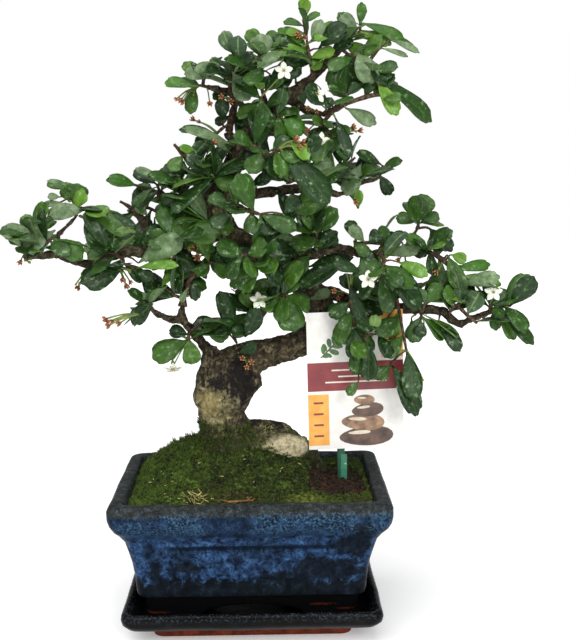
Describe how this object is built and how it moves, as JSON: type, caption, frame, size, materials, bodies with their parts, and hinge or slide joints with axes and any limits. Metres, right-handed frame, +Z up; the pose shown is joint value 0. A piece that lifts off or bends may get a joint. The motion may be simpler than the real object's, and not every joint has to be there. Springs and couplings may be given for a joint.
{
  "type": "bonsai tree in a pot",
  "caption": "Old gnarled fukien tea bonsai with small leaves and white flowers, rooted in a mossy mound in a glazed blue rectangular pot on its saucer, with a plant label on a stick.",
  "frame": {"origin": "middle of the saucer's flat underside, on the surface that it stands on", "axes": "+X to the right as the tree's front is seen, +Y to the back, +Z up"},
  "size_m": [0.3193, 0.1504, 0.3828],
  "materials": {
    "pot_glaze": "gloss",
    "saucer_glaze": "gloss",
    "mesh_plastic": "matt",
    "potting_soil": "matt",
    "moss": "matt",
    "bark": "matt",
    "leaf": "satin",
    "petal": "matt",
    "label_card": "satin",
    "stake_plastic": "satin"
  },
  "bodies": {
    "root": {"drain_screen": "mesh_plastic", "flower_apex": "petal", "flower_crown": "petal", "flower_middle": "petal", "flower_right": "petal", "label_card": "label_card", "label_stake": "stake_plastic", "moss": "moss", "pot": "pot_glaze", "saucer": "saucer_glaze", "shoot_apex_right": "leaf", "shoot_apex_up": "leaf", "shoot_back_crown": "leaf", "shoot_back_left": "leaf", "shoot_back_low": "leaf", "shoot_crown_brown": "leaf", "shoot_crown_front": "leaf", "shoot_crown_hanging": "leaf", "shoot_crown_inner": "leaf", "shoot_crown_left": "leaf", "shoot_crown_middle": "leaf", "shoot_crown_shoot": "leaf", "shoot_crown_twig_tip": "leaf", "shoot_front_crown": "leaf", "shoot_front_low": "leaf", "shoot_front_middle": "leaf", "shoot_label_cover": "leaf", "shoot_label_hanging": "leaf", "shoot_left_back": "leaf", "shoot_left_dark": "leaf", "shoot_left_down": "leaf", "shoot_left_front": "leaf", "shoot_left_knob": "leaf", "shoot_left_low_hanging": "leaf", "shoot_left_low_tip": "leaf", "shoot_left_low_up": "leaf", "shoot_left_main_near": "leaf", "shoot_left_main_under": "leaf", "shoot_left_raised": "leaf", "shoot_left_tip": "leaf", "shoot_left_tip_under": "leaf", "shoot_left_upper_long": "leaf", "shoot_left_upper_middle": "leaf", "shoot_left_upper_tip": "leaf", "shoot_middle_back": "leaf", "shoot_middle_front": "leaf", "shoot_middle_tip": "leaf", "shoot_right_back": "leaf", "shoot_right_bend": "leaf", "shoot_right_front": "leaf", "shoot_right_knob": "leaf", "shoot_right_tip": "leaf", "shoot_rising_front": "leaf", "shoot_rising_tip": "leaf", "shoot_upper_curled": "leaf", "shoot_upper_middle": "leaf", "shoot_upper_stub": "leaf", "shoot_upper_tip": "leaf", "soil": "potting_soil", "wood": "bark"}
  },
  "joints": []
}
